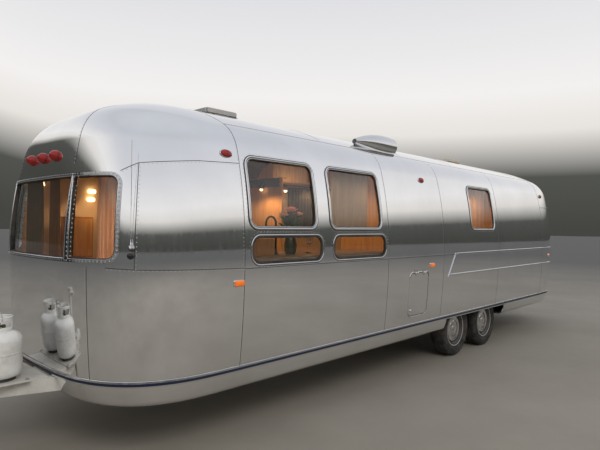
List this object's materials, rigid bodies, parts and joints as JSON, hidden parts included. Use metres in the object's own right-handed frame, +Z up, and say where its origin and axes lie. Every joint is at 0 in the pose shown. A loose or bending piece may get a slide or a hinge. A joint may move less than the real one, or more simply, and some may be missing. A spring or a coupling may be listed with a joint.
{
  "type": "travel caravan",
  "caption": "Long polished aluminium travel caravan with rounded ends on two axles, with a tongue jack, gas bottles, entry door and roof vents.",
  "frame": {"origin": "centre of the overall box, on the ground", "axes": "+X forward to the coupler, +Y to the left side, +Z up"},
  "size_m": [9.58, 2.4965, 2.767],
  "materials": {
    "polished_skin": "mirror polished",
    "bright_trim": "bright",
    "dull_aluminium": "dull",
    "chrome": "polished",
    "frame_black": "satin",
    "frame_pale": "satin",
    "bottle_white": "gloss",
    "wheel_steel": "satin",
    "bare_steel": "brushed",
    "blue_insert": "satin",
    "red_lens": "clear red",
    "amber_lens": "clear amber",
    "grey_plastic": "weathered",
    "tan_plastic": "weathered",
    "glass": "tinted",
    "tyre": "worn",
    "plywood": "oiled",
    "cabinet_wood": "satin",
    "counter": "laminate",
    "seat_cloth": "woven"
  },
  "bodies": {
    "caravan": {"antenna": "chrome", "axles": "frame_black", "belly_pan": "dull_aluminium", "belt_insert": "blue_insert", "belt_rail": "bright_trim", "chassis": "frame_pale", "coupler": "frame_pale", "cushions": "seat_cloth", "floor": "plywood", "front_cap": "polished_skin", "galley_cabinet": "cabinet_wood", "galley_top": "counter", "gas_bottles": "bottle_white", "gas_rack": "frame_pale", "hinge_posts": "bright_trim", "jack_tube": "frame_pale", "lamps_amber": "amber_lens", "lamps_red": "red_lens", "lower_wrap": "polished_skin", "overhead_lockers": "cabinet_wood", "partitions": "cabinet_wood", "rear_bumper": "frame_pale", "rear_cap": "polished_skin", "rear_mouldings": "bright_trim", "roof_cowl": "bright_trim", "roof_panel": "polished_skin", "screen_frame": "bright_trim", "seat_bases": "cabinet_wood", "step_rails": "frame_black", "vent_curbs": "bright_trim", "wall_left": "polished_skin", "wall_right": "polished_skin", "water_heater": "frame_pale", "wheel_wells": "frame_black", "window_frames": "bright_trim", "window_glass": "glass"},
    "entry_door": {"door": "polished_skin", "door_glass": "glass", "door_fittings": "chrome"},
    "service_hatch_lid": {"service_hatch": "polished_skin", "hatch_fittings": "chrome"},
    "step": {"entry_step": "frame_black"},
    "front_vent_lid": {"vent_lid_front": "grey_plastic"},
    "rear_vent_lid": {"vent_lid_rear": "tan_plastic"},
    "jack_foot": {"jack_leg": "bare_steel"},
    "front_left_wheel": {"tyre_1": "tyre", "wheel_1": "wheel_steel", "hubcap_1": "chrome"},
    "front_right_wheel": {"tyre_2": "tyre", "wheel_2": "wheel_steel", "hubcap_2": "chrome"},
    "rear_left_wheel": {"tyre_3": "tyre", "wheel_3": "wheel_steel", "hubcap_3": "chrome"},
    "rear_right_wheel": {"tyre_4": "tyre", "wheel_4": "wheel_steel", "hubcap_4": "chrome"}
  },
  "joints": [
    {"name": "front_left_wheel_spin", "type": "hinge", "parent": "caravan", "child": "front_left_wheel", "pos_m": [-0.99599, 0.955, 0.345], "axis": [0, 1, 0], "continuous": true},
    {"name": "front_right_wheel_spin", "type": "hinge", "parent": "caravan", "child": "front_right_wheel", "pos_m": [-0.99599, -0.955, 0.345], "axis": [0, 1, 0], "continuous": true},
    {"name": "rear_left_wheel_spin", "type": "hinge", "parent": "caravan", "child": "rear_left_wheel", "pos_m": [-1.84999, 0.955, 0.345], "axis": [0, 1, 0], "continuous": true},
    {"name": "rear_right_wheel_spin", "type": "hinge", "parent": "caravan", "child": "rear_right_wheel", "pos_m": [-1.84999, -0.955, 0.345], "axis": [0, 1, 0], "continuous": true},
    {"name": "door_hinge", "type": "hinge", "parent": "caravan", "child": "entry_door", "pos_m": [1.66351, -1.238, 1.4], "axis": [0, 0, 1], "range_deg": [0, 150]},
    {"name": "hatch_hinge", "type": "hinge", "parent": "caravan", "child": "service_hatch_lid", "pos_m": [0.20501, 1.22955, 1.1535], "axis": [1, 0, 0], "range_deg": [0, 110]},
    {"name": "step_slide", "type": "slide", "parent": "caravan", "child": "step", "axis": [0, -1, 0], "range_m": [0, 0.26]},
    {"name": "front_vent_hinge", "type": "hinge", "parent": "caravan", "child": "front_vent_lid", "pos_m": [2.36171, 0, 2.722], "axis": [0, 1, 0], "range_deg": [0, 60]},
    {"name": "rear_vent_hinge", "type": "hinge", "parent": "caravan", "child": "rear_vent_lid", "pos_m": [-2.37829, 0, 2.722], "axis": [0, 1, 0], "range_deg": [0, 60]},
    {"name": "jack_slide", "type": "slide", "parent": "caravan", "child": "jack_foot", "axis": [0, 0, 1], "range_m": [0, 0.25]}
  ]
}
